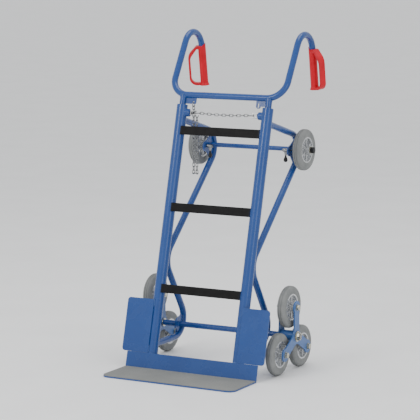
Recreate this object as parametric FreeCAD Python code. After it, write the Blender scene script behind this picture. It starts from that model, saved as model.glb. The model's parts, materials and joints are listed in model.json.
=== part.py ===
import FreeCAD, Part
import math
import os

V = FreeCAD.Vector

# Stair climbing trolley, millimetres. X is across the trolley, the toe plate points to -Y, Z is up.
# It is drawn with the uprights' axes crossing the floor at Y = 0 and is centred on Y at the end.

# ---- driving dimensions -----------------------------------------------------------------------
LEAN_DEG = 14.4            # uprights lean back from the vertical
TRACK = 184.0              # half distance between the uprights' axes
UPRIGHT_R, UPRIGHT_WALL = 21.2, 2.0
UPRIGHT_TOP = 1020.0       # along the upright's own axis, from the floor
TUBE_R, TUBE_WALL, BEND_R = 12.5, 2.0, 72.0    # handle, stems and side tubes, bent on one former
FLOOR_GAP = 6.0            # the uprights end this far above the floor

BAR_STATIONS = {"bottom": 308.7, "middle": 621.6, "top": 919.2}    # along the uprights
BAR_HALF_HEIGHT = 16.5

TOE_HALF_WIDTH, TOE_FRONT, TOE_CORNER_R = 279.0, -209.0, 30.0
TOE_SHEET, TOE_MAT = 5.0, 3.0
FLANGE_TOP = 58.5          # along the uprights
GUARD_INNER, GUARD_OUTER = 190.0, 303.5
GUARD_BOTTOM, GUARD_TOP, GUARD_SHEET = 59.0, 264.0, 4.0

HANDLE_STATION = 1060.0    # handle crossbar along the uprights, with the handle pushed in
HANDLE_BACK = 3.0          # and this far behind their axes
HANDLE_HALF_WIDTH = 242.5
HANDLE_TOP, HANDLE_END = (483.8, 1394.6), (537.5, 1064.0)    # corner of the U-bend, tube end (Y, Z)
STEM_BOTTOM = 520.0
INDEX_STATION, INDEX_STEP, INDEX_HOLES = 990.0, 100.0, 4

WHEEL_R, WHEEL_HALF_WIDTH, WHEEL_HUB_HALF = 80.0, 15.0, 28.5
RIM_R, WHEEL_HUB_R, WHEEL_BOLT_R = 50.0, 17.0, 6.0
STAR_AXIS = (226.0, 135.0)             # Y, Z
STAR_ARM, STAR_X = 110.0, 290.5
STAR_PLATE_GAP, STAR_PLATE = 29.0, 5.0
STAR_ANGLES = {"top": 90.0, "front": 210.0, "rear": 330.0}
STAR_SHAFT_R, STAR_HUB_R = 9.0, 21.0
LOWER_CROSS_R = 11.0
SUPPORT_AXIS = (478.0, 814.0)          # Y, Z
SUPPORT_X, UPPER_CROSS_R = 228.0, 9.0

# side tube: ends and corners in (Y, Z)
BOW_START, BOW_END = (240.0, 934.4), (30.0, 91.0)
BOW_CORNERS = [(585.0, 843.0), (110.4, 407.2), (320.4, 88.0)]
GUSSET = 5.0                           # plates in the bends of the side tubes, outlines in (Y, Z)
UPPER_GUSSET = [(585, 843), (486, 880), (474, 848), (450, 834), (430, 827), (421, 818), (421, 800),
                (430, 792), (450, 787), (480, 752)]
LOWER_GUSSET = [(320, 88), (262, 190), (232, 168), (206, 160), (194, 150), (192, 126), (203, 116), (216, 84)]
LEVER_AXIS = (444.0, 812.0)            # Y, Z
LEVER_PIN_R = 4.0
LOWER_CROSS_END, STAR_END = 250.0, 341.0
SUPPORT_END = SUPPORT_X + WHEEL_HUB_HALF + 13.0
RUNNING = 0.05                         # radial clearance of the running fits

PIN_R, COLLAR_R = 5.0, 7.5             # index plunger
BOSS_END, BOSS_WALL, BOSS_R = 145.0, 2.2, 15.0
PIN_TIP = TRACK - TUBE_R - 0.6
FORK_PIN_X, FORK_PIN_R = 125.0, 2.0
LINK_WIRE_R, LINK_INNER, LINK_WIDTH = 1.5, 14.0, 5.5
LINK_SLACK = 0.3
RELEASE_LINKS, RELEASE_INNER, RELEASE_END_INNER, RELEASE_SAG = 13, 16.0, 25.0, 3.0
EAR_Y, EAR_SHEET, EAR_HOLE_X, EAR_HOLE_STATION, EAR_HOLE_R = 4.0, 5.0, -139.0, 1033.0, 4.0
STRAND_LINKS, STRAND_GAP = 19, 14.0    # load chain, hanging doubled
GRIP_LENGTH, GRIP_R, GUARD_WIDTH, GUARD_TURN_DEG = 154.0, 15.5, 24.0, 28.0

X_AXIS = V(1, 0, 0)
SIN, COS = math.sin(math.radians(LEAN_DEG)), math.cos(math.radians(LEAN_DEG))
SIDES = (("left", -1), ("right", 1))
nodes = {}


# ---- helpers ----------------------------------------------------------------------------------
def leaned(y, s):
    """World (Y, Z) of a point y behind the uprights' axes and s along them."""
    return y * COS + s * SIN, -y * SIN + s * COS


def lean(shape):
    """Turns a shape drawn with Z along the uprights into the trolley's frame."""
    shape = shape.copy()
    shape.rotate(V(0, 0, 0), X_AXIS, -LEAN_DEG)
    return shape


def side(shape, sign):
    """The shape itself on the right, its mirror image on the left."""
    return shape if sign > 0 else shape.mirror(V(0, 0, 0), X_AXIS)


def box(x0, x1, y0, y1, z0, z1):
    return Part.makeBox(x1 - x0, y1 - y0, z1 - z0, V(x0, y0, z0))


def rod_x(x0, x1, y, z, r):
    return Part.makeCylinder(r, x1 - x0, V(x0, y, z), X_AXIS)


def tube_x(x0, x1, y, z, r, bore):
    return rod_x(x0, x1, y, z, r).cut(rod_x(x0, x1, y, z, bore))


def hexagon_x(x0, x1, y, z, across):
    corner = across / math.sqrt(3)
    turns = [math.radians(60 * k) for k in range(7)]
    points = [V(x0, y + corner * math.cos(a), z + corner * math.sin(a)) for a in turns]
    return Part.Face(Part.makePolygon(points)).extrude(V(x1 - x0, 0, 0))


def prism_x(points, x0, x1):
    """Outline in (Y, Z) extruded from x0 to x1."""
    wire = Part.makePolygon([V(x0, y, z) for y, z in points + points[:1]])
    return Part.Face(wire).extrude(V(x1 - x0, 0, 0))


def bent_path(start, corners, end, radius=BEND_R):
    """Straight runs joined by tangent arcs."""
    edges, at = [], start
    points = [start, *corners, end]
    for before, corner, after in zip(points, points[1:], points[2:]):
        u, v = (before - corner).normalize(), (after - corner).normalize()
        half = u.getAngle(v) / 2
        first, last = corner + u * (radius / math.tan(half)), corner + v * (radius / math.tan(half))
        middle = corner + (u + v).normalize() * (radius / math.sin(half) - radius)
        if (first - at).Length > 1e-6:
            edges.append(Part.LineSegment(at, first).toShape())
        edges.append(Part.Arc(first, middle, last).toShape())
        at = last
    edges.append(Part.LineSegment(at, end).toShape())
    return Part.Wire(edges)


def swept_rod(path, r):
    first = path.OrderedEdges[0]
    start = first.firstVertex().Point
    profile = Part.Wire(Part.makeCircle(r, start, first.tangentAt(first.FirstParameter)))
    return path.makePipeShell([profile], True, False)


def swept_tube(path, r, wall):
    return swept_rod(path, r).cut(swept_rod(path, r - wall))


def solid_at(shape, point):
    """The solid of a cut shape that holds or lies nearest to the point."""
    return min(shape.Solids, key=lambda s: s.distToShape(Part.Vertex(point))[0])


def round_edges(shape, direction, places, radius):
    """Fillets the edges along a direction whose middles are nearest to the places."""
    chosen = []
    for place in places:
        along = [e for e in shape.Edges if len(e.Vertexes) == 2 and
                 abs((e.Vertexes[1].Point - e.Vertexes[0].Point).normalize().dot(direction)) > 0.999]
        chosen.append(min(along, key=lambda e: (e.CenterOfMass - place).Length))
    return shape.makeFillet(radius, chosen)


def chain_link(inner_length, wire_r, inner_width):
    """Oval link with its long axis on X, lying in XY."""
    mid_r, straight = inner_width / 2 + wire_r, (inner_length - inner_width) / 2
    a, b = V(-straight, mid_r, 0), V(straight, mid_r, 0)
    c, d = V(straight, -mid_r, 0), V(-straight, -mid_r, 0)
    oval = Part.Wire([Part.LineSegment(a, b).toShape(), Part.Arc(b, V(straight + mid_r, 0, 0), c).toShape(),
                      Part.LineSegment(c, d).toShape(), Part.Arc(d, V(-straight - mid_r, 0, 0), a).toShape()])
    profile = Part.Wire(Part.makeCircle(wire_r, a, X_AXIS))
    return oval.makePipeShell([profile], True, False)


def placed_link(link, centre, direction, roll_deg):
    shape = link.copy()
    shape.rotate(V(0, 0, 0), X_AXIS, roll_deg)
    turn = FreeCAD.Rotation(X_AXIS, direction)
    shape.Placement = FreeCAD.Placement(centre, turn).multiply(shape.Placement)
    return shape


def upright_rod(r, s0, s1, x=TRACK, y=0.0):
    """Rod parallel to an upright, in the uprights' own frame."""
    return Part.makeCylinder(r, s1 - s0, V(x, y, s0))


def upright_tube(r, wall, s0, s1):
    return upright_rod(r, s0, s1).cut(upright_rod(r - wall, s0, s1))


# ---- uprights, crossbars, guards and toe plate ------------------------------------------------
def uprights():
    tube = upright_tube(UPRIGHT_R, UPRIGHT_WALL, -40, UPRIGHT_TOP)
    pin_hole = rod_x(TRACK - 30, TRACK, 0, INDEX_STATION, PIN_R + 0.4)
    foot = box(-400, 400, -100, 100, -80, FLOOR_GAP)
    shape = lean(tube.cut(pin_hole)).cut(foot)
    for name, sign in SIDES:
        nodes["upright_" + name] = side(shape, sign)


def crossbars():
    """Flat steel bars between the uprights, each in a black C-shaped cover with two end caps."""
    both = upright_rod(UPRIGHT_R, 0, UPRIGHT_TOP).fuse(upright_rod(UPRIGHT_R, 0, UPRIGHT_TOP, -TRACK))
    front, back, core_front, core_back = -21.0, -9.5, -18.0, -12.0
    core_half, cover_end, cap_end = 14.5, 164.5, 169.5
    cores, caps = [], []
    for name, s in BAR_STATIONS.items():
        core = box(-TRACK, TRACK, core_front, core_back, s - core_half, s + core_half)
        cores.append(lean(core.cut(both)))
        slot = box(-cap_end, cap_end, core_back - 0.1, back, s - 11, s + 11)
        body = box(-cap_end, cap_end, front, back, s - BAR_HALF_HEIGHT, s + BAR_HALF_HEIGHT)
        corners = [V(0, front, s + z) for z in (-BAR_HALF_HEIGHT, BAR_HALF_HEIGHT)]
        body = round_edges(body, X_AXIS, corners, 3.0)
        body = body.cut(core).cut(slot)
        middle = box(-cover_end, cover_end, front, back, s - 20, s + 20)
        nodes["bar_cover_" + name] = lean(body.common(middle))
        ends = body.cut(middle).cut(both)
        caps += [lean(solid) for solid in ends.Solids]
    nodes["crossbars"] = Part.makeCompound(cores)
    nodes["bar_end_caps"] = Part.makeCompound(caps)


def toe_plate():
    back_y = leaned(-UPRIGHT_R, -UPRIGHT_R * SIN / COS)[0]
    front_y, front_s = -UPRIGHT_R - TOE_SHEET, (TOE_SHEET + (-UPRIGHT_R - TOE_SHEET) * SIN) / COS
    crease = leaned(front_y, front_s)
    outline = [(TOE_FRONT, 0), (back_y, 0), leaned(-UPRIGHT_R, FLANGE_TOP), leaned(front_y, FLANGE_TOP),
               crease, (TOE_FRONT, TOE_SHEET)]
    plate = prism_x(outline, -TOE_HALF_WIDTH, TOE_HALF_WIDTH)
    corners = [V(x, TOE_FRONT, TOE_SHEET / 2) for x in (-TOE_HALF_WIDTH, TOE_HALF_WIDTH)]
    plate = round_edges(plate, V(0, 0, 1), corners, TOE_CORNER_R)
    nodes["toe_plate"] = round_edges(plate, X_AXIS, [V(0, back_y, 0)], 4.0)
    inset = 1.5
    mat = box(-TOE_HALF_WIDTH + inset, TOE_HALF_WIDTH - inset, TOE_FRONT + inset, crease[0] - inset,
              TOE_SHEET, TOE_SHEET + TOE_MAT)
    corners = [V(x, TOE_FRONT + inset, TOE_SHEET + TOE_MAT / 2)
               for x in (-TOE_HALF_WIDTH + inset, TOE_HALF_WIDTH - inset)]
    nodes["toe_mat"] = round_edges(mat, V(0, 0, 1), corners, TOE_CORNER_R - inset)


def side_guards():
    plate = box(GUARD_INNER, GUARD_OUTER, -UPRIGHT_R - GUARD_SHEET, -UPRIGHT_R, GUARD_BOTTOM, GUARD_TOP)
    y = -UPRIGHT_R - GUARD_SHEET / 2
    corners = [V(GUARD_OUTER, y, z) for z in (GUARD_TOP, GUARD_BOTTOM)]
    plate = round_edges(plate, V(0, 1, 0), corners, 12.0)
    nodes["side_guards"] = Part.makeCompound([side(lean(plate), sign) for _, sign in SIDES])


# ---- side tubes, cross tubes, gussets and axles -----------------------------------------------
def bow_path():
    corners = [V(TRACK, y, z) for y, z in BOW_CORNERS]
    return bent_path(V(TRACK, *BOW_START), corners, V(TRACK, *BOW_END))


def side_bows():
    upright = lean(upright_rod(UPRIGHT_R, -40, UPRIGHT_TOP + 40))
    shape = swept_tube(bow_path(), TUBE_R, TUBE_WALL).cut(upright)
    shape = solid_at(shape, V(TRACK, *BOW_CORNERS[0]))
    for name, sign in SIDES:
        nodes["side_bow_" + name] = side(shape, sign)


def axle_gussets():
    """Plates that fill the two outer bends of each side tube and carry the axles."""
    outer = swept_rod(bow_path(), TUBE_R)
    x0, x1 = TRACK - GUSSET / 2, TRACK + GUSSET / 2
    upper = prism_x(UPPER_GUSSET, x0, x1).cut(outer)
    upper = solid_at(upper, V(TRACK, *SUPPORT_AXIS)).cut(rod_x(x0, x1, *SUPPORT_AXIS, WHEEL_BOLT_R))
    upper = upper.cut(rod_x(x0, x1, *LEVER_AXIS, LEVER_PIN_R))
    lower = prism_x(LOWER_GUSSET, x0, x1).cut(outer)
    lower = solid_at(lower, V(TRACK, *STAR_AXIS)).cut(rod_x(x0, x1, *STAR_AXIS, LOWER_CROSS_R))
    plates = [side(plate, sign) for plate in (upper, lower) for _, sign in SIDES]
    nodes["axle_gussets"] = Part.makeCompound(plates)


def axles():
    inner_face = TRACK - GUSSET / 2
    nodes["upper_cross_tube"] = tube_x(-inner_face, inner_face, *SUPPORT_AXIS, UPPER_CROSS_R,
                                       UPPER_CROSS_R - 2.5)
    nodes["upper_axle"] = rod_x(-SUPPORT_END, SUPPORT_END, *SUPPORT_AXIS, WHEEL_BOLT_R)
    nodes["lower_cross_tube"] = tube_x(-LOWER_CROSS_END, LOWER_CROSS_END, *STAR_AXIS, LOWER_CROSS_R,
                                       STAR_SHAFT_R + 0.3)
    nodes["star_axle"] = rod_x(-STAR_END, STAR_END, *STAR_AXIS, STAR_SHAFT_R)


def castle_nut(x0, y, z, across, length, bore):
    nut = hexagon_x(x0, x0 + length, y, z, across).cut(rod_x(x0, x0 + length, y, z, bore))
    for k in range(3):
        slot = box(x0 + length * 0.62, x0 + length, y - across, y + across, z - 1.8, z + 1.8)
        slot.rotate(V(x0, y, z), X_AXIS, 60 * k)
        nut = nut.cut(slot)
    return nut


def axle_fasteners():
    """Star axle: inner spacer, outer washer, castle nut. Support axle: spacer, washer, cap nut."""
    star_in, star_out = STAR_X - STAR_PLATE_GAP - STAR_PLATE, STAR_X + STAR_PLATE_GAP + STAR_PLATE
    hub_in, hub_out = SUPPORT_X - WHEEL_HUB_HALF, SUPPORT_X + WHEEL_HUB_HALF
    cap = rod_x(hub_out + 2.0, SUPPORT_END + 3.0, *SUPPORT_AXIS, 12.0)
    outer_rim = [e for e in cap.Edges if e.CenterOfMass.x > SUPPORT_END and len(e.Vertexes) == 1]
    cap = cap.makeFillet(3.5, outer_rim)
    pieces = [
        tube_x(LOWER_CROSS_END, star_in - 0.5, *STAR_AXIS, 16.0, STAR_SHAFT_R),
        tube_x(star_out + 0.5, star_out + 3.5, *STAR_AXIS, 20.0, STAR_SHAFT_R),
        castle_nut(star_out + 3.5, *STAR_AXIS, 28.0, 10.5, STAR_SHAFT_R),
        tube_x(TRACK + GUSSET / 2, hub_in - 0.4, *SUPPORT_AXIS, 10.0, WHEEL_BOLT_R),
        tube_x(hub_out + 0.4, hub_out + 2.0, *SUPPORT_AXIS, 14.0, WHEEL_BOLT_R),
        cap.cut(nodes["upper_axle"]),
    ]
    nodes["axle_fasteners"] = Part.makeCompound([side(p, sign) for p in pieces for _, sign in SIDES])


# ---- wheels and stars -------------------------------------------------------------------------
def tyre():
    """Solid rubber tyre on the X axis, with two grooves round its tread."""
    w, shoulder = WHEEL_HALF_WIDTH, 11.0
    chamfer = shoulder * (1 - math.sqrt(0.5))
    edges = [
        Part.LineSegment(V(-w + 1, RIM_R, 0), V(-w, RIM_R + 4, 0)).toShape(),
        Part.LineSegment(V(-w, RIM_R + 4, 0), V(-w, WHEEL_R - shoulder, 0)).toShape(),
        Part.Arc(V(-w, WHEEL_R - shoulder, 0), V(-w + chamfer, WHEEL_R - chamfer, 0),
                 V(-w + shoulder, WHEEL_R, 0)).toShape(),
        Part.LineSegment(V(-w + shoulder, WHEEL_R, 0), V(w - shoulder, WHEEL_R, 0)).toShape(),
        Part.Arc(V(w - shoulder, WHEEL_R, 0), V(w - chamfer, WHEEL_R - chamfer, 0),
                 V(w, WHEEL_R - shoulder, 0)).toShape(),
        Part.LineSegment(V(w, WHEEL_R - shoulder, 0), V(w, RIM_R + 4, 0)).toShape(),
        Part.LineSegment(V(w, RIM_R + 4, 0), V(w - 1, RIM_R, 0)).toShape(),
        Part.LineSegment(V(w - 1, RIM_R, 0), V(-w + 1, RIM_R, 0)).toShape(),
    ]
    ring = Part.Face(Part.Wire(edges)).revolve(V(0, 0, 0), X_AXIS, 360)
    for x in (-4.0, 4.0):
        ring = ring.cut(tube_x(x - 1.0, x + 1.0, 0, 0, WHEEL_R + 1, WHEEL_R - 1.6))
    return ring


def rim():
    """Cast rim on the X axis: ring, web with six round windows, six ribs, bored hub."""
    ring_x, web_x, rib_x, spokes = WHEEL_HALF_WIDTH - 1.0, 3.0, 11.0, 6
    shape = tube_x(-ring_x, ring_x, 0, 0, RIM_R, RIM_R - 5)
    shape = shape.fuse(rod_x(-web_x, web_x, 0, 0, RIM_R - 4))
    shape = shape.fuse(rod_x(-WHEEL_HUB_HALF + 0.5, WHEEL_HUB_HALF - 0.5, 0, 0, WHEEL_HUB_R))
    for k in range(spokes):
        rib = box(-rib_x, rib_x, -2.0, 2.0, WHEEL_HUB_R - 4, RIM_R - 3)
        rib.rotate(V(0, 0, 0), X_AXIS, 360 / spokes * k)
        window = rod_x(-web_x, web_x, 0, 31.0, 9.0)
        window.rotate(V(0, 0, 0), X_AXIS, 360 / spokes * (k + 0.5))
        shape = shape.fuse(rib).cut(window)
    return shape.cut(rod_x(-40, 40, 0, 0, WHEEL_BOLT_R + RUNNING)).removeSplitter()


def wheels():
    tyre_shape, rim_shape = tyre(), rim()
    places = {"support_wheel": (SUPPORT_X, *SUPPORT_AXIS)}
    for arm, angle in STAR_ANGLES.items():
        a = math.radians(angle)
        places["star_wheel_" + arm] = (STAR_X, STAR_AXIS[0] + STAR_ARM * math.cos(a),
                                       STAR_AXIS[1] + STAR_ARM * math.sin(a))
    for place, (x, y, z) in places.items():
        for name, sign in SIDES:
            for piece, shape in (("tyre", tyre_shape), ("rim", rim_shape)):
                copy = shape.copy()
                copy.translate(V(x, y, z))
                nodes["{}_{}_{}".format(place, name, piece)] = side(copy, sign)


def star_plate(x0):
    """Three rounded arms that run into each other in large hollow curves."""
    y, z = STAR_AXIS
    half, end_r, shape = 20.0, 25.0, None
    for angle in STAR_ANGLES.values():
        arm = box(x0, x0 + STAR_PLATE, y, y + STAR_ARM, z - half, z + half)
        arm = arm.fuse(rod_x(x0, x0 + STAR_PLATE, y + STAR_ARM, z, end_r))
        arm = arm.cut(rod_x(x0, x0 + STAR_PLATE, y + STAR_ARM, z, WHEEL_BOLT_R))
        arm.rotate(V(x0, y, z), X_AXIS, angle)
        shape = arm if shape is None else shape.fuse(arm)
    inner = half / math.sin(math.radians(60))
    places = [V(x0 + STAR_PLATE / 2, y + inner * math.cos(math.radians(a + 60)),
                z + inner * math.sin(math.radians(a + 60))) for a in STAR_ANGLES.values()]
    shape = round_edges(shape.removeSplitter(), X_AXIS, places, 42.0)
    return shape.cut(rod_x(x0, x0 + STAR_PLATE, y, z, STAR_SHAFT_R + 0.6))


def stars():
    face_in, face_out = STAR_X - STAR_PLATE_GAP, STAR_X + STAR_PLATE_GAP
    plates = [star_plate(face_in - STAR_PLATE), star_plate(face_out)]
    hub = tube_x(face_in, face_out, *STAR_AXIS, STAR_HUB_R, STAR_SHAFT_R + RUNNING)
    fasteners = []
    washer, head, across = 2.0, 7.5, 19.0
    left_x, right_x = face_in - STAR_PLATE, face_out + STAR_PLATE
    for angle in STAR_ANGLES.values():
        a = math.radians(angle)
        y, z = STAR_AXIS[0] + STAR_ARM * math.cos(a), STAR_AXIS[1] + STAR_ARM * math.sin(a)
        bolt = rod_x(left_x - washer - 12, right_x + washer, y, z, WHEEL_BOLT_R)
        bolt = bolt.fuse(hexagon_x(right_x + washer, right_x + washer + head, y, z, across)).removeSplitter()
        nut = hexagon_x(left_x - washer - 10, left_x - washer, y, z, across)
        fasteners += [bolt, nut.cut(rod_x(left_x - 20, left_x, y, z, WHEEL_BOLT_R)),
                      tube_x(left_x - washer, left_x, y, z, 12.0, WHEEL_BOLT_R),
                      tube_x(right_x, right_x + washer, y, z, 12.0, WHEEL_BOLT_R)]
    for name, sign in SIDES:
        nodes["star_plates_" + name] = Part.makeCompound([side(p, sign) for p in plates])
        nodes["star_hub_" + name] = side(hub, sign)
        nodes["star_bolts_" + name] = Part.makeCompound([side(f, sign) for f in fasteners])


# ---- handle -----------------------------------------------------------------------------------
def handle_points():
    """Corners of the right half of the handle tube: crossbar end, top of the U-bend, tube end."""
    y, z = leaned(HANDLE_BACK, HANDLE_STATION)
    return [V(HANDLE_HALF_WIDTH, *point) for point in ((y, z), HANDLE_TOP, HANDLE_END)]


def handle_path():
    low, top, end = handle_points()

    def left(p):
        return V(-p.x, p.y, p.z)
    return bent_path(left(end), [left(top), left(low), low, top], end)


def handle_tube():
    nodes["handle_tube"] = swept_tube(handle_path(), TUBE_R, TUBE_WALL)


def stems():
    """Tubes that slide in the uprights, with index holes on their inner sides."""
    shape = upright_tube(TUBE_R, TUBE_WALL, STEM_BOTTOM, HANDLE_STATION)
    shape = shape.cut(rod_x(TRACK - 40, TRACK + 40, HANDLE_BACK, HANDLE_STATION, TUBE_R))
    for k in range(INDEX_HOLES):
        shape = shape.cut(rod_x(TRACK - 20, TRACK, 0, INDEX_STATION - k * INDEX_STEP, PIN_R + 0.5))
    shape = lean(solid_at(shape, V(TRACK, 0, STEM_BOTTOM)))
    for name, sign in SIDES:
        nodes["stem_" + name] = side(shape, sign)


def guide_bushes():
    """Plastic rings in the uprights that the stems slide through."""
    rings = []
    for s in (UPRIGHT_TOP - 20, UPRIGHT_TOP - 180):
        ring = upright_rod(UPRIGHT_R - UPRIGHT_WALL, s, s + 20).cut(upright_rod(TUBE_R + RUNNING, s, s + 20))
        rings += [side(lean(ring), sign) for _, sign in SIDES]
    nodes["guide_bushes"] = Part.makeCompound(rings)


def ears():
    """Plates under the handle crossbar: the left one has a hole, the right one a hook slot."""
    y0, y1, top = EAR_Y - EAR_SHEET / 2, EAR_Y + EAR_SHEET / 2, HANDLE_STATION
    tubes = rod_x(-300, 300, HANDLE_BACK, HANDLE_STATION, TUBE_R)
    for x in (-TRACK, TRACK):
        tubes = tubes.fuse(upright_rod(TUBE_R, STEM_BOTTOM, HANDLE_STATION, x))
    left = box(-TRACK, EAR_HOLE_X + 11, y0, y1, HANDLE_STATION - 34.5, top)
    left = round_edges(left, V(0, 1, 0), [V(EAR_HOLE_X + 11, EAR_Y, HANDLE_STATION - 34.5)], 6.0).cut(tubes)
    left = solid_at(left, V(-140, EAR_Y, HANDLE_STATION - 30))
    hole = Part.makeCylinder(EAR_HOLE_R, 20, V(EAR_HOLE_X, EAR_Y - 10, EAR_HOLE_STATION), V(0, 1, 0))
    nodes["ear_left"] = lean(left.cut(hole))
    eye_x, eye_s, eye_r, slot_r = 140.0, HANDLE_STATION - 32.0, 9.5, 3.2
    right = box(eye_x - eye_r, TRACK, y0, y1, HANDLE_STATION - 33.5, top)
    right = right.fuse(Part.makeCylinder(eye_r, y1 - y0, V(eye_x, y0, eye_s), V(0, 1, 0))).cut(tubes)
    right = solid_at(right, V(eye_x, EAR_Y, eye_s))
    for s in (eye_s - 3.0, eye_s + 8.0):
        right = right.cut(Part.makeCylinder(slot_r, 20, V(eye_x, EAR_Y - 10, s), V(0, 1, 0)))
    slot = box(eye_x - slot_r, eye_x + slot_r, y0 - 1, y1 + 1, eye_s - 3.0, eye_s + 8.0)
    nodes["ear_right"] = lean(right.cut(slot).removeSplitter())


def grips():
    """Red sleeve on each tube end with a hand guard standing off outwards and forwards."""
    _, top, end = handle_points()
    axis = (end - top).normalize()
    away = V(math.cos(math.radians(GUARD_TURN_DEG)), -math.sin(math.radians(GUARD_TURN_DEG)), 0)
    away = (away - axis * away.dot(axis)).normalize()
    across = axis.cross(away)
    origin = end - axis * (GRIP_LENGTH - 18.0)

    def at(u, v, w=0.0):
        return origin + away * u + axis * v + across * w
    sleeve = Part.makeCylinder(GRIP_R, GRIP_LENGTH + 16, at(0, -14), axis)
    sleeve = sleeve.fuse(Part.makeCone(GRIP_R, GRIP_R + 4, 12, at(0, GRIP_LENGTH - 10), axis))
    corners = [at(-30, -22, -30), at(30, 16, -30), at(30, -60, -30), at(-30, -60, -30)]
    oblique = Part.Face(Part.makePolygon(corners + corners[:1])).extrude(across * 60)
    solids = []
    for first, last, far, width, radii in ((-4, GRIP_LENGTH, 57.5, GUARD_WIDTH, (42, 30)),
                                           (9, GRIP_LENGTH - 9, 49.5, GUARD_WIDTH + 4, (36, 22))):
        outline = [(0, first), (22, first), (far, first + 34), (far, last - 3), (26, last), (0, last)]
        points = [at(u, v, -width / 2) for u, v in outline]
        solid = Part.Face(Part.makePolygon(points + points[:1])).extrude(across * width)
        for (u, v), radius in zip((outline[2], outline[3]), radii):
            solid = round_edges(solid, across, [at(u, v)], radius)
        solids.append(solid)
    guard = solids[0].cut(solids[1])
    shape = sleeve.cut(oblique).fuse(guard)
    shape = shape.cut(swept_rod(handle_path(), TUBE_R)).removeSplitter()
    for name, sign in SIDES:
        nodes["grip_" + name] = side(shape, sign)


# ---- index plungers, release chain and load chain ---------------------------------------------
def plungers():
    s = INDEX_STATION
    boss = rod_x(BOSS_END + 5, TRACK, 0, s, BOSS_R)
    boss = boss.fuse(Part.makeCone(BOSS_R - 5, BOSS_R, 5, V(BOSS_END, 0, s), X_AXIS))
    boss = boss.cut(rod_x(BOSS_END + BOSS_WALL, TRACK, 0, s, COLLAR_R + 1))
    boss = boss.cut(rod_x(BOSS_END, TRACK, 0, s, PIN_R + RUNNING))
    boss = lean(boss.cut(upright_rod(UPRIGHT_R, 900, UPRIGHT_TOP)).removeSplitter())
    nodes["plunger_bosses"] = Part.makeCompound([side(boss, sign) for _, sign in SIDES])

    collar_x = TRACK - UPRIGHT_R - 2.5
    fork_root, fork_tip, fork_half = BOSS_END - 1.0, FORK_PIN_X - 4.0, 9.0
    pin = rod_x(fork_root - 3, PIN_TIP, 0, s, PIN_R).fuse(rod_x(collar_x, collar_x + 2, 0, s, COLLAR_R))
    pin = pin.fuse(box(fork_root - 3, fork_root, -5, 5, s - fork_half, s + fork_half))
    for z in (s - fork_half, s + fork_half - 3.5):
        pin = pin.fuse(box(fork_tip, fork_root, -5, 5, z, z + 3.5))
    pin = pin.fuse(Part.makeCylinder(FORK_PIN_R, 2 * fork_half, V(FORK_PIN_X, 0, s - fork_half)))
    pin = lean(pin.removeSplitter())

    coil_r, wire_r, gap, turns = 6.6, 0.6, 0.4, 4.5
    coil_start = BOSS_END + BOSS_WALL + wire_r + gap
    coil_length = collar_x - gap - wire_r - coil_start
    helix = Part.makeHelix(coil_length / turns, coil_length, coil_r)
    start = Part.Wire(Part.makeCircle(wire_r, V(coil_r, 0, 0), V(0, 1, 0)))
    coil = Part.Wire(helix).makePipeShell([start], True, True)
    coil.rotate(V(0, 0, 0), V(0, 1, 0), 90)
    for name, sign in SIDES:
        nodes["plunger_" + name] = side(pin, sign)
        placed = coil.copy()
        placed.translate(V(coil_start if sign > 0 else -coil_start - coil_length, 0, s))
        nodes["plunger_spring_" + name] = lean(placed)


def release_chain():
    """Light chain between the plungers' forks; its long end links leave room for their travel."""
    link = chain_link(RELEASE_INNER, LINK_WIRE_R, LINK_WIDTH)
    end_link = chain_link(RELEASE_END_INNER, LINK_WIRE_R, LINK_WIDTH)
    end_x = FORK_PIN_X + FORK_PIN_R + 0.3 - RELEASE_END_INNER / 2
    span = end_x - RELEASE_END_INNER / 2 - RELEASE_INNER / 2 + 0.3
    pieces = [placed_link(end_link, V(sign * end_x, 0, INDEX_STATION), X_AXIS, 0) for _, sign in SIDES]
    for k in range(RELEASE_LINKS):
        x = span * (2 * k / (RELEASE_LINKS - 1) - 1)
        drop, slope = RELEASE_SAG * (1 - (x / span) ** 2), 2 * RELEASE_SAG * x / span ** 2
        roll = 90 if k % 2 == 0 else 0
        pieces.append(placed_link(link, V(x, 0, INDEX_STATION - drop), V(1, 0, slope).normalize(), roll))
    nodes["release_chain"] = Part.makeCompound([lean(p) for p in pieces])


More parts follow.
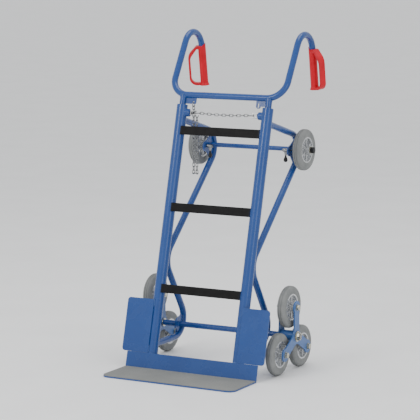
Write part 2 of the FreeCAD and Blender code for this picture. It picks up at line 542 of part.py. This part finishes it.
def load_chain():
    """Hangs doubled from a ring in the left ear; an S hook hangs its end back in the first strand.

    Every second link lies across the trolley ("flat"), the others face along it ("edge").
    """
    y, z = leaned(EAR_Y, EAR_HOLE_STATION)
    ring_wire, ring_r, on_edge = 1.75, 8.75, 1.5
    ring_z = z - EAR_HOLE_R * COS + on_edge + ring_wire - ring_r
    pieces = [Part.makeTorus(ring_r, ring_wire, V(EAR_HOLE_X, y, ring_z), X_AXIS)]
    link, pitch, down = chain_link(LINK_INNER, LINK_WIRE_R, LINK_WIDTH), LINK_INNER - LINK_SLACK, V(0, 0, -1)
    flat, edge = 90, 0
    first = ring_z - ring_r + ring_wire + LINK_SLACK - LINK_INNER / 2
    strand_x, back_x = EAR_HOLE_X, EAR_HOLE_X + STRAND_GAP
    hung, back_top = 1, 3              # the hook sits in this link of the first strand and holds this one
    for k in range(STRAND_LINKS - 1):
        xs = [strand_x, back_x] if k >= back_top else [strand_x]
        pieces += [placed_link(link, V(x, y, first - k * pitch), down, edge if k % 2 else flat) for x in xs]
    # the turn: one level link held by the two last flat links, which spread a little
    end_wire = LINK_INNER / 2 + LINK_WIRE_R
    spread = end_wire - STRAND_GAP / 2
    pivot_z, reach = first - (STRAND_LINKS - 2) * pitch - end_wire, 2 * (pitch - end_wire)
    fall = math.sqrt(reach ** 2 - spread ** 2)
    for x, outward in ((strand_x, -1), (back_x, 1)):
        direction = V(outward * spread, 0, -fall).normalize()
        pieces.append(placed_link(link, V(x, y, pivot_z) + direction * (reach / 2), direction, flat))
    pieces.append(placed_link(link, V((strand_x + back_x) / 2, y, pivot_z - fall), X_AXIS, edge))
    # S hook
    wire, hook_r = 1.2, STRAND_GAP / 2
    top_z = first - (hung + 1) * pitch + LINK_INNER / 2 + 2 * LINK_WIRE_R + wire + LINK_SLACK
    low_z = first - back_top * pitch + LINK_INNER / 2 - wire - 0.5
    tip, stem = strand_x - hook_r, strand_x + hook_r
    end = stem + 2 * hook_r
    corners = [V(tip, y, top_z), V(stem, y, top_z), V(stem, y, low_z), V(end, y, low_z)]
    path = bent_path(V(tip, y, top_z - hook_r - 5), corners, V(end, y, low_z + hook_r + 3), hook_r)
    pieces.append(swept_rod(path, wire))
    nodes["load_chain"] = Part.makeCompound(pieces)


# ---- lock levers beside the support wheels ----------------------------------------------------
def levers():
    y, z = LEVER_AXIS
    face = TRACK - GUSSET / 2
    x0, x1, apex = face - 25, face - 3, face - 16
    pin = rod_x(x0 - 0.5, TRACK + GUSSET / 2, y, z, LEVER_PIN_R)
    pin = pin.fuse(rod_x(x0 - 2, x0 - 0.5, y, z, 6.5)).removeSplitter()
    nodes["lever_pins"] = Part.makeCompound([side(pin, sign) for _, sign in SIDES])
    sleeve = rod_x(x0, x1, y, z, 6.5)
    web = Part.makePolygon([V(x0 + 1, y - 1.5, z), V(x1 - 1, y - 1.5, z), V(apex + 3.2, y - 1.5, z - 19),
                            V(apex - 3.2, y - 1.5, z - 19), V(x0 + 1, y - 1.5, z)])
    yoke = sleeve.fuse(Part.Face(web).extrude(V(0, 3, 0)))
    shank_top, shank_end = z - 16, z - 38
    yoke = yoke.fuse(Part.makeCylinder(2.5, shank_top - shank_end, V(apex, y, shank_end)))
    yoke = yoke.cut(rod_x(x0, x1, y, z, LEVER_PIN_R + RUNNING)).removeSplitter()
    bottom, bulb, neck, top = z - 46, z - 38, z - 27, z - 19.5
    flank = Part.BSplineCurve()
    outline = [(3.6, top), (4.6, neck), (8.0, bulb), (5.6, bottom + 1.8), (0, bottom)]
    flank.interpolate([V(r, 0, h) for r, h in outline])
    edges = [Part.LineSegment(V(0, 0, top), V(3.6, 0, top)).toShape(), flank.toShape(),
             Part.LineSegment(V(0, 0, bottom), V(0, 0, top)).toShape()]
    grip = Part.Face(Part.Wire(edges)).revolve(V(0, 0, 0), V(0, 0, 1), 360)
    grip.translate(V(apex, y, 0))
    grip = grip.cut(yoke)
    for name, sign in SIDES:
        nodes["lock_lever_" + name] = side(yoke, sign)
        nodes["lever_grip_" + name] = side(grip, sign)


# ---- build ------------------------------------------------------------------------------------
for make in (uprights, crossbars, toe_plate, side_guards, side_bows, axle_gussets, axles, axle_fasteners,
             wheels, stars, handle_tube, stems, guide_bushes, ears, grips, plungers, release_chain,
             load_chain, levers):
    make()

extent = FreeCAD.BoundBox()
for shape in nodes.values():
    extent.add(shape.optimalBoundingBox(True, False))
shift = V(0, -(extent.YMin + extent.YMax) / 2, -extent.ZMin)
os.makedirs("parts", exist_ok=True)
for name, shape in nodes.items():
    placed = shape.copy()
    placed.translate(shift)
    placed.exportStep(os.path.join("parts", name + ".step"))
print(len(nodes), "nodes, moved by", tuple(round(c, 3) for c in shift))
print("size", round(extent.XLength, 1), round(extent.YLength, 1), round(extent.ZLength, 1))
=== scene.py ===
import bpy
import json
import math
import random
from mathutils import Matrix, Vector


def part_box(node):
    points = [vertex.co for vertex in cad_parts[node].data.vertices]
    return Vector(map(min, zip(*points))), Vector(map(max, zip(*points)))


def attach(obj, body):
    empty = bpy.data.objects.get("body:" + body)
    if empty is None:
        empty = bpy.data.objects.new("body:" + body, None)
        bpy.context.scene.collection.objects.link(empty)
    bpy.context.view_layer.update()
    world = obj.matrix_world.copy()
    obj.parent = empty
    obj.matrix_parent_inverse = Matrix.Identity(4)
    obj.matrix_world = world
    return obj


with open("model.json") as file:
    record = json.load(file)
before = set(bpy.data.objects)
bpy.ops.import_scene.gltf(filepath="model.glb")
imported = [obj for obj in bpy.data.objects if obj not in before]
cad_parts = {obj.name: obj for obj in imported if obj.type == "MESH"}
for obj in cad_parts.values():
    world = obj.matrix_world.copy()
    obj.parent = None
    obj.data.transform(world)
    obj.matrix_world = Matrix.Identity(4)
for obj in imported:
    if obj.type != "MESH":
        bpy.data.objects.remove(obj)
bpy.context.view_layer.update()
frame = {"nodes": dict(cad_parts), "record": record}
random.seed(7)
SCENE = bpy.context.scene

# ---- places on the frame, metres ----------------------------------------------------------------
SIDES = (("left", -1), ("right", 1))
LEAN = math.radians(14.4)
UP = Vector((0, math.sin(LEAN), math.cos(LEAN)))
BACK = Vector((0, math.cos(LEAN), -math.sin(LEAN)))
ACROSS = Vector((1, 0, 0))
UPRIGHT_R, TUBE_R, TRACK = 0.0212, 0.0125, 0.184
SUPPORT_BACK, SUPPORT_HEIGHT = 0.478, 0.814         # of the upper axle, from OFFSET


def middle(node):
    lo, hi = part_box(node)
    return (lo + hi) / 2


STAR, SUPPORT = middle("star_axle"), middle("upper_axle")
# the floor point between the uprights' axes
OFFSET = Vector((0, SUPPORT.y - SUPPORT_BACK, SUPPORT.z - SUPPORT_HEIGHT))


def leaned(x, y, s):
    """A point y behind the uprights' axes and s along them."""
    return OFFSET + ACROSS * x + BACK * y + UP * s


# ---- camera, floor and light --------------------------------------------------------------------
AZIMUTH, ELEVATION, ROLL = 28.2895, 7.8943, 0.06     # degrees
SENSOR, LENS = 36.0, 167.92                          # millimetres
NEAR, FAR = 0.1, 300.0
AIM_RIGHT, AIM_UP, DISTANCE = 0.0642, 0.6221, 7.2814  # from OFFSET
WORLD_LIGHT, WORLD_TINT = 1.0, (0.97, 0.985, 1.0, 1)
# name, place, target, size, power, tint
LIGHTS = (
    ("key", (-1.6, -4.6, 3.6), (0, 0, 0.6), 2.2, 110.0, (1.0, 0.985, 0.96)),
    ("fill", (4.4, -2.6, 2.4), (0, 0, 0.6), 2.6, 40.0, (0.96, 0.98, 1.0)),
    ("top", (0.2, 0.6, 4.6), (0, 0, 0.4), 3.0, 60.0, (1.0, 1.0, 1.0)),
)
FLOOR_REACH, FLOOR_DROP, FLOOR_CORNERS = 70.0, 0.0004, 48


def camera():
    azimuth, elevation, roll = (math.radians(a) for a in (AZIMUTH, ELEVATION, ROLL))
    back = Vector((math.sin(azimuth) * math.cos(elevation), -math.cos(azimuth) * math.cos(elevation),
                   math.sin(elevation)))
    right = Vector((math.cos(azimuth), math.sin(azimuth), 0))
    up = back.cross(right)
    x_axis = right * math.cos(roll) + up * math.sin(roll)
    y_axis = up * math.cos(roll) - right * math.sin(roll)
    data = bpy.data.cameras.new("camera")
    data.sensor_width, data.lens = SENSOR, LENS
    data.clip_start, data.clip_end = NEAR, FAR
    obj = bpy.data.objects.new("camera", data)
    SCENE.collection.objects.link(obj)
    place = Matrix((x_axis, y_axis, back)).transposed().to_4x4()
    place.translation = OFFSET + right * AIM_RIGHT + Vector((0, 0, AIM_UP)) + back * DISTANCE
    obj.matrix_world = place
    SCENE.camera = obj


def light(name, place, target, size, power, tint):
    data = bpy.data.lights.new(name, "AREA")
    data.shape, data.size, data.energy, data.color = "DISK", size, power, tint
    obj = bpy.data.objects.new(name, data)
    SCENE.collection.objects.link(obj)
    obj.location = place
    obj.rotation_euler = (Vector(target) - Vector(place)).to_track_quat("-Z", "Y").to_euler()


def studio():
    world = bpy.data.worlds.new("studio")
    world.use_nodes = True
    world.node_tree.nodes["Background"].inputs["Color"].default_value = WORLD_TINT
    world.node_tree.nodes["Background"].inputs["Strength"].default_value = WORLD_LIGHT
    SCENE.world = world
    for facts in LIGHTS:
        light(*facts)
    mesh = bpy.data.meshes.new("floor")
    corners = [(FLOOR_REACH * math.cos(a), FLOOR_REACH * math.sin(a), -FLOOR_DROP)
               for a in (math.radians(360 / FLOOR_CORNERS * k) for k in range(FLOOR_CORNERS))]
    mesh.from_pydata(corners, [], [list(range(FLOOR_CORNERS))])
    floor = bpy.data.objects.new("floor", mesh)
    SCENE.collection.objects.link(floor)
    pale = surface("floor_white", (0.90, 0.90, 0.90), (0.93, 0.93, 0.93), 0.6, noise=3.0)
    floor.data.materials.append(pale)


# ---- materials ----------------------------------------------------------------------------------
COAT_ROUGHNESS, NOISE_ROUGHNESS = 0.12, 0.55
ROUGHNESS_SPREAD = 0.08         # either side of a finish's own roughness
RELIEF_DEPTH = 0.0006
SPECK_EDGE = 0.06               # softness of the specks' edges, in noise value


def surface(name, low, high, rough, noise=40.0, metal=0.0, bump=0.0, bump_scale=900.0, coat=0.0,
            specks=None, specular=0.5):
    """Procedural finish: two tones mixed by a broad noise, a fine relief and uneven roughness."""
    mat = bpy.data.materials.new(name)
    mat.use_nodes = True
    nodes, links = mat.node_tree.nodes, mat.node_tree.links
    shader = nodes["Principled BSDF"]
    shader.inputs["Metallic"].default_value = metal
    shader.inputs["Coat Weight"].default_value = coat
    shader.inputs["Coat Roughness"].default_value = COAT_ROUGHNESS
    shader.inputs["Specular IOR Level"].default_value = specular
    place = nodes.new("ShaderNodeTexCoord")

    def texture(scale, detail):
        node = nodes.new("ShaderNodeTexNoise")
        node.inputs["Scale"].default_value = scale
        node.inputs["Detail"].default_value = detail
        node.inputs["Roughness"].default_value = NOISE_ROUGHNESS
        links.new(place.outputs["Object"], node.inputs["Vector"])
        return node.outputs["Fac"]

    def span(value, a, b, c, d):
        node = nodes.new("ShaderNodeMapRange")
        for key, number in zip(("From Min", "From Max", "To Min", "To Max"), (a, b, c, d)):
            node.inputs[key].default_value = number
        links.new(value, node.inputs["Value"])
        return node.outputs["Result"]

    def mixed(factor, a, b):
        node = nodes.new("ShaderNodeMix")
        node.data_type = "RGBA"
        links.new(factor, node.inputs[0])
        for socket, value in ((node.inputs[6], a), (node.inputs[7], b)):
            if isinstance(value, tuple):
                socket.default_value = (*value, 1.0)
            else:
                links.new(value, socket)
        return node.outputs[2]

    broad = texture(noise, 4.0)
    colour = mixed(span(broad, 0.35, 0.65, 0.0, 1.0), low, high)
    if specks:
        tone, scale, amount = specks
        edge = 1.0 - amount
        colour = mixed(span(texture(scale, 2.0), edge - SPECK_EDGE, edge, 0.0, 1.0), colour, tone)
    links.new(colour, shader.inputs["Base Color"])
    uneven = span(texture(noise * 2.3, 5.0), 0.3, 0.7, rough - ROUGHNESS_SPREAD, rough + ROUGHNESS_SPREAD)
    links.new(uneven, shader.inputs["Roughness"])
    if bump:
        relief = nodes.new("ShaderNodeBump")
        relief.inputs["Strength"].default_value = bump
        relief.inputs["Distance"].default_value = RELIEF_DEPTH
        links.new(texture(bump_scale, 3.0), relief.inputs["Height"])
        links.new(relief.outputs["Normal"], shader.inputs["Normal"])
    return mat


FINISHES = {
    "blue_paint": dict(low=(0.010, 0.052, 0.215), high=(0.012, 0.059, 0.235), rough=0.27, noise=9.0,
                       bump=0.06, bump_scale=420.0, coat=0.30,
                       specks=((0.016, 0.072, 0.26), 260.0, 0.20), specular=0.32),
    "star_blue": dict(low=(0.034, 0.105, 0.300), high=(0.044, 0.125, 0.340), rough=0.36, noise=12.0,
                      bump=0.10, bump_scale=420.0, coat=0.25, specks=((0.028, 0.09, 0.27), 300.0, 0.22),
                      specular=0.32),
    "black_plastic": dict(low=(0.0055, 0.0053, 0.0056), high=(0.0080, 0.0077, 0.0080), rough=0.5,
                          noise=30.0, bump=0.25, bump_scale=1500.0,
                          specks=((0.014, 0.014, 0.014), 700.0, 0.3), specular=0.12),
    "cap_plastic": dict(low=(0.003, 0.004, 0.010), high=(0.005, 0.008, 0.016), rough=0.45, noise=40.0,
                        bump=0.2, bump_scale=1500.0, specular=0.15),
    "mat_grey": dict(low=(0.205, 0.210, 0.203), high=(0.235, 0.238, 0.228), rough=0.85, noise=7.0,
                     bump=0.5, bump_scale=1300.0, specks=((0.165, 0.170, 0.165), 1100.0, 0.35),
                     specular=0.12),
    "tyre_grey": dict(low=(0.190, 0.197, 0.195), high=(0.235, 0.240, 0.236), rough=0.75, noise=26.0,
                      bump=0.35, bump_scale=900.0, specks=((0.14, 0.14, 0.14), 420.0, 0.28),
                      specular=0.2),
    "rim_silver": dict(low=(0.50, 0.51, 0.52), high=(0.66, 0.67, 0.68), rough=0.28, noise=60.0,
                       metal=0.7, bump=0.15, bump_scale=500.0,
                       specks=((0.42, 0.42, 0.43), 420.0, 0.25)),
    "bright_zinc": dict(low=(0.17, 0.175, 0.18), high=(0.34, 0.345, 0.35), rough=0.22, noise=150.0,
                        metal=1.0, bump=0.12, bump_scale=1600.0),
    "spring_steel": dict(low=(0.22, 0.22, 0.23), high=(0.34, 0.34, 0.35), rough=0.32, noise=200.0,
                         metal=1.0),
    "yellow_zinc": dict(low=(0.42, 0.40, 0.30), high=(0.58, 0.57, 0.49), rough=0.26, noise=120.0,
                        metal=1.0, bump=0.12, bump_scale=1500.0,
                        specks=((0.46, 0.38, 0.30), 160.0, 0.28)),
    "grip_red": dict(low=(0.50, 0.0020, 0.0125), high=(0.60, 0.0030, 0.0180), rough=0.36, noise=18.0,
                     bump=0.18, bump_scale=1400.0, specks=((0.33, 0.002, 0.005), 800.0, 0.26),
                     specular=0.25),
    "dark_plastic": dict(low=(0.009, 0.0095, 0.011), high=(0.016, 0.0165, 0.019), rough=0.38,
                         noise=60.0, bump=0.2, bump_scale=1500.0, specular=0.25),
    # weld beads: the frame's blue lightened and finely mottled, a painted highlight standing in for the
    # glints on the beads
    "weld_blue_painted_highlight": dict(low=(0.016, 0.068, 0.26), high=(0.040, 0.115, 0.34), rough=0.26, noise=300.0,
                      bump=0.4, bump_scale=700.0, coat=0.3),
}


CAP_START, CAP_BELOW = 0.2586, 0.05     # a cap's faces: beyond this x, at most this far below the axle


def dress():
    """One finish for each material slot of the record; the support axle's caps are black."""
    made = {name: surface(name, **facts) for name, facts in FINISHES.items()}
    slots = {s["node"]: s["material_slot"] for s in frame["record"]["subparts"]}
    for name, obj in frame["nodes"].items():
        obj.data.materials.clear()
        obj.data.materials.append(made[slots[name]])
    fasteners = frame["nodes"]["axle_fasteners"].data
    fasteners.materials.append(made["dark_plastic"])
    for face in fasteners.polygons:
        centre = face.center
        face.material_index = int(abs(centre.x) > CAP_START and centre.z > SUPPORT.z - CAP_BELOW)
    return made


# ---- weld beads ---------------------------------------------------------------------------------
BEAD_SIDES, RIPPLE, RIPPLE_STEP, JITTER, END_SHARE = 8, 0.22, 2.1, 0.07, 0.35
# the side tubes' runs to the uprights, as distances back and up from OFFSET: end, then corner
BOW_TOP, BOW_TOP_CORNER = (0.240, 0.9344), (0.585, 0.843)
BOW_FOOT, BOW_FOOT_CORNER = (0.030, 0.091), (0.3204, 0.088)
BOSS_R, BOSS_INSIDE, BOSS_STATION = 0.015, 0.10, 0.990
GUSSET_HALF, LOWER_RING, UPPER_RING = 0.0028, 0.0112, 0.0092
STEM_STATION, CROSSBAR_BACK, CROSSBAR_STATION = 1.0, 0.003, 1.060
GUARD_X, GUARD_FACE, GUARD_LOW, GUARD_HIGH, GUARD_RUN = 0.1895, -0.0212, 0.062, 0.262, 0.026
FLANGE_X, FLANGE_FACE, FLANGE_STATION = (0.172, 0.196), -0.0216, 0.0588
BAR_STATIONS = (("bottom", 0.3087), ("middle", 0.6216), ("top", 0.9192))
BAR_FACE, BAR_HALF_RUN = -0.0160, 0.013
STEM_BEAD, GUARD_BEAD, FLANGE_BEAD, BAR_BEAD = 0.0013, 0.0022, 0.0020, 0.0012


def bead(name, points, body, radius=0.0016, closed=True):
    """A rippled weld bead along the points."""
    ring, count = BEAD_SIDES, len(points)
    vertices, faces = [], []
    for i, point in enumerate(points):
        before_p = points[i - 1] if closed or i else point
        after_p = points[(i + 1) % count] if closed or i < count - 1 else point
        along = (after_p - before_p).normalized()
        side_way = along.orthogonal().normalized()
        up_way = along.cross(side_way)
        r = radius * (1.0 + RIPPLE * math.sin(i * RIPPLE_STEP) + random.uniform(-JITTER, JITTER))
        if not closed and i in (0, count - 1):
            r *= END_SHARE
        for k in range(ring):
            a = 2 * math.pi * k / ring
            vertices.append(point + (side_way * math.cos(a) + up_way * math.sin(a)) * r)
    spans = count if closed else count - 1
    for i in range(spans):
        j = (i + 1) % count
        for k in range(ring):
            m = (k + 1) % ring
            faces.append([i * ring + k, i * ring + m, j * ring + m, j * ring + k])
    if not closed:
        faces.append(list(range(ring))[::-1])
        faces.append([(count - 1) * ring + k for k in range(ring)])
    mesh = bpy.data.meshes.new(name)
    mesh.from_pydata([tuple(v) for v in vertices], [], faces)
    mesh.validate()
    # the beads' finish is lighter than the frame's paint: painted highlight
    mesh.materials.append(MADE["weld_blue_painted_highlight"])
    mesh.shade_smooth()
    obj = bpy.data.objects.new(name, mesh)
    SCENE.collection.objects.link(obj)
    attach(obj, body)


def saddle(point, direction, r, axis_point, axis, axis_r, steps=56):
    """Where a rod of radius r along the direction first meets a cylinder round the axis."""
    direction, axis = direction.normalized(), axis.normalized()
    u = direction.orthogonal().normalized()
    v = direction.cross(u)
    points = []
    for k in range(steps):
        a = 2 * math.pi * k / steps
        start = point + (u * math.cos(a) + v * math.sin(a)) * r
        across = (start - axis_point) - axis * (start - axis_point).dot(axis)
        way = direction - axis * direction.dot(axis)
        qa, qb, qc = way.dot(way), 2 * across.dot(way), across.dot(across) - axis_r ** 2
        gap = max(qb * qb - 4 * qa * qc, 0.0)
        points.append(start + direction * ((-qb - math.sqrt(gap)) / (2 * qa)))
    return points


def circle_x(centre, r, steps=48):
    """A ring of points round centre, square to X."""
    return [centre + Vector((0, r * math.cos(a), r * math.sin(a)))
            for a in (2 * math.pi * k / steps for k in range(steps))]


def run(a, b, step=0.0018):
    """Points along a straight bead."""
    count = max(int((b - a).length / step), 4)
    return [a.lerp(b, k / (count - 1)) for k in range(count)]


def welds():
    """The beads that show: round the tubes, bosses and gussets, and along the guards, flange and bars."""
    for name, sign in SIDES:
        x = sign * TRACK
        axis_point = leaned(x, 0, 0)
        top, corner = Vector((x, *BOW_TOP)) + OFFSET, Vector((x, *BOW_TOP_CORNER)) + OFFSET
        points = saddle(corner, top - corner, TUBE_R, axis_point, UP, UPRIGHT_R)
        bead("weld_bow_top_" + name, points, "frame")
        foot, turn = Vector((x, *BOW_FOOT)) + OFFSET, Vector((x, *BOW_FOOT_CORNER)) + OFFSET
        points = saddle(turn, foot - turn, TUBE_R, axis_point, UP, UPRIGHT_R)
        bead("weld_bow_foot_" + name, points, "frame")
        boss = leaned(sign * BOSS_INSIDE, 0, BOSS_STATION)
        points = saddle(boss, ACROSS * sign, BOSS_R, axis_point, UP, UPRIGHT_R)
        bead("weld_boss_" + name, points, "frame")
        for tag, face in (("in", -1), ("out", 1)):
            place = Vector((sign * (TRACK + face * GUSSET_HALF), STAR.y, STAR.z))
            bead("weld_lower_{}_{}".format(name, tag), circle_x(place, LOWER_RING), "frame")
        place = Vector((sign * (TRACK - GUSSET_HALF), SUPPORT.y, SUPPORT.z))
        bead("weld_upper_" + name, circle_x(place, UPPER_RING), "frame")
        stem = leaned(x, 0, STEM_STATION)
        crossbar = leaned(0, CROSSBAR_BACK, CROSSBAR_STATION)
        bead("weld_stem_" + name, saddle(stem, UP, TUBE_R, crossbar, ACROSS, TUBE_R), "handle", STEM_BEAD)
        ends = (("low", GUARD_LOW, GUARD_LOW + GUARD_RUN), ("high", GUARD_HIGH - GUARD_RUN, GUARD_HIGH))
        for tag, s0, s1 in ends:
            a, b = (leaned(sign * GUARD_X, GUARD_FACE, s) for s in (s0, s1))
            bead("weld_guard_{}_{}".format(tag, name), run(a, b), "frame", GUARD_BEAD, closed=False)
        a, b = (leaned(sign * across, FLANGE_FACE, FLANGE_STATION) for across in FLANGE_X)
        bead("weld_flange_" + name, run(a, b), "frame", FLANGE_BEAD, closed=False)
        inner = UPRIGHT_R / math.sqrt(2)
        for bar_name, s in BAR_STATIONS:
            a, b = (leaned(sign * (TRACK - inner), BAR_FACE, s + d) for d in (-BAR_HALF_RUN, BAR_HALF_RUN))
            bead("weld_bar_{}_{}".format(bar_name, name), run(a, b), "frame", BAR_BEAD, closed=False)


camera()
MADE = dress()
studio()
welds()
